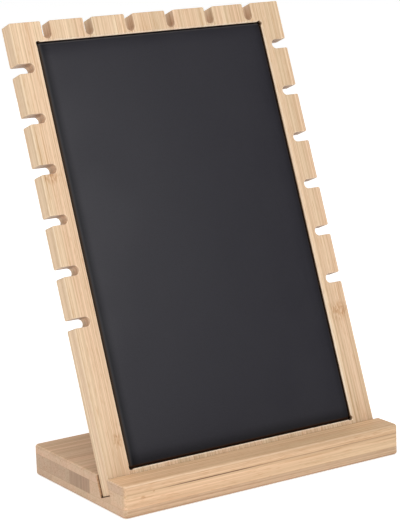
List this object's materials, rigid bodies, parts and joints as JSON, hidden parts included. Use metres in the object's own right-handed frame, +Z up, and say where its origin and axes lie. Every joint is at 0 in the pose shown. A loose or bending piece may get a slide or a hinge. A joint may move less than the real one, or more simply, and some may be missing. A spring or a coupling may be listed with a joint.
{
  "type": "jewelry display stand",
  "caption": "Tilted bamboo display board with notched edges and a recessed padded panel, standing in an open-ended groove of a laminated bamboo base, for hanging necklaces.",
  "frame": {"origin": "middle of the base's flat underside", "axes": "+Z up, +X to the viewer's right along the base's length, -Y towards the viewer; the board leans back towards +Y"},
  "size_m": [0.185, 0.1152, 0.258],
  "materials": {
    "bamboo": "satin, fine straight grain",
    "bamboo_dark": "satin, sawn end grain",
    "leatherette": "fine matt grain",
    "foam": "open cell, matt",
    "card": "grey board, matt",
    "adhesive": "clear, dull"
  },
  "bodies": {
    "base": {"base_bottom_slat_1": "bamboo", "base_bottom_slat_2": "bamboo", "base_bottom_slat_3": "bamboo", "base_bottom_slat_4": "bamboo", "base_bottom_slat_5": "bamboo", "base_core_slat_1": "bamboo", "base_core_slat_2": "bamboo", "base_core_slat_3": "bamboo_dark", "base_core_slat_4": "bamboo", "base_core_slat_5": "bamboo", "base_top_slat_1": "bamboo", "base_top_slat_2": "bamboo", "base_top_slat_3": "bamboo", "base_top_slat_4": "bamboo", "base_top_slat_5": "bamboo"},
    "board": {"board_slat_1": "bamboo", "board_slat_2": "bamboo", "board_slat_3": "bamboo", "board_slat_4": "bamboo", "board_slat_5": "bamboo", "board_slat_6": "bamboo", "board_slat_7": "bamboo", "board_slat_8": "bamboo", "pad_adhesive_sheet": "adhesive", "pad_card": "card", "pad_foam": "foam", "pad_cover": "leatherette"}
  },
  "joints": [
    {"name": "board_lift", "type": "slide", "parent": "base", "child": "board", "axis": [0, 0.342, 0.9397], "range_m": [0, 0.04]}
  ]
}
